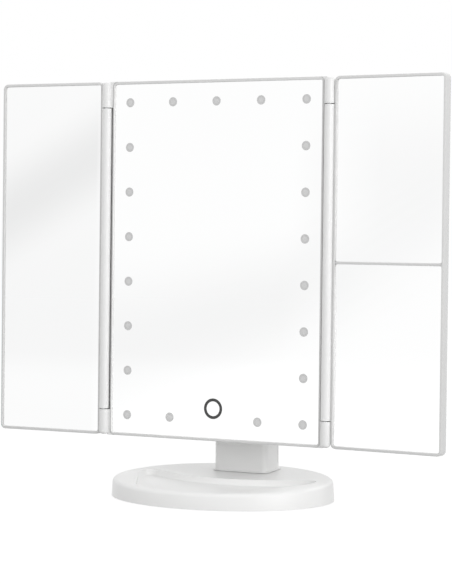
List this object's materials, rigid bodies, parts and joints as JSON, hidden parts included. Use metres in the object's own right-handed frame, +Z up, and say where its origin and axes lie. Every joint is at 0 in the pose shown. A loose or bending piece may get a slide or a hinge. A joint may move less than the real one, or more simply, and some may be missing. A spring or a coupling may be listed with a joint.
{
  "type": "lighted makeup mirror",
  "caption": "Tri-fold lighted makeup mirror on an oval tray base, with folding side mirrors, a tilting centre panel, a touch key and a slide switch.",
  "frame": {"origin": "middle of the oval base on the surface that the feet stand on", "axes": "+X to the right as a user sees it, +Y away from the user, +Z up; the mirror faces -Y"},
  "size_m": [0.3365, 0.1219, 0.2802],
  "materials": {
    "white_plastic": "satin gloss moulded",
    "rubber": "matte",
    "mirror_glass": "polished",
    "circuit_board": "solder mask",
    "cell_wrap": "shrink wrap",
    "nickel": "nickel plated",
    "switch_black": "matte moulded",
    "steel": "zinc plated"
  },
  "bodies": {
    "base": {"base_tray": "white_plastic", "base_cover": "white_plastic", "foot_front_left": "rubber", "foot_front_right": "rubber", "foot_rear_left": "rubber", "foot_rear_right": "rubber", "cover_screw_front_left": "steel", "cover_screw_front_right": "steel", "cover_screw_rear_left": "steel", "cover_screw_rear_right": "steel", "neck_front": "white_plastic", "neck_rear": "white_plastic", "neck_screw_lower": "steel", "neck_screw_upper": "steel", "plug_screw_left": "steel", "plug_screw_right": "steel", "friction_washer_left": "steel", "friction_washer_right": "steel"},
    "centre": {"tilt_shaft": "steel", "tilt_nut": "steel", "tilt_arm_left": "white_plastic", "hinge_cap_left": "white_plastic", "arm_screw_left_1": "steel", "arm_screw_left_2": "steel", "tilt_arm_right": "white_plastic", "hinge_cap_right": "white_plastic", "arm_screw_right_1": "steel", "arm_screw_right_2": "steel", "front_frame": "white_plastic", "centre_mirror": "mirror_glass", "led_board_left": "circuit_board", "led_board_right": "circuit_board", "led_board_top": "circuit_board", "control_board": "circuit_board", "touch_pad": "nickel", "rear_shell": "white_plastic", "case_screw_1": "steel", "case_screw_2": "steel", "case_screw_3": "steel", "case_screw_4": "steel", "switch_body": "switch_black", "usb_inlet": "nickel", "contact_strip_lower": "nickel", "contact_strip_upper": "nickel", "battery_cell_1": "cell_wrap", "battery_cell_2": "cell_wrap", "battery_cell_3": "cell_wrap", "battery_cell_4": "cell_wrap", "hinge_pin_left_lower": "steel", "hinge_pin_left_upper": "steel", "hinge_pin_right_lower": "steel", "hinge_pin_right_upper": "steel"},
    "switch_knob": {"switch_knob": "switch_black"},
    "battery_door": {"battery_door": "white_plastic"},
    "left_wing": {"left_wing_shell": "white_plastic", "left_mirror": "mirror_glass"},
    "right_wing": {"right_wing_shell": "white_plastic", "right_upper_mirror": "mirror_glass", "right_lower_mirror": "mirror_glass"}
  },
  "joints": [
    {"name": "tilt_hinge", "type": "hinge", "parent": "base", "child": "centre", "pos_m": [0, 0.036, 0.083], "axis": [1, 0, 0], "range_deg": [-30, 12]},
    {"name": "left_wing_hinge", "type": "hinge", "parent": "centre", "child": "left_wing", "pos_m": [-0.0842, -0.01155, 0.15973], "axis": [0, 0.0243, 0.9997], "range_deg": [-1.7, 178.3]},
    {"name": "right_wing_hinge", "type": "hinge", "parent": "centre", "child": "right_wing", "pos_m": [0.0842, -0.01155, 0.15973], "axis": [0, -0.0243, -0.9997], "range_deg": [-4.2, 175.8]},
    {"name": "switch_slide", "type": "slide", "parent": "centre", "child": "switch_knob", "axis": [1, 0, 0], "range_m": [0, 0.004]},
    {"name": "battery_door_slide", "type": "slide", "parent": "centre", "child": "battery_door", "axis": [0, 0.9997, -0.0243], "range_m": [0, 0.025]}
  ]
}
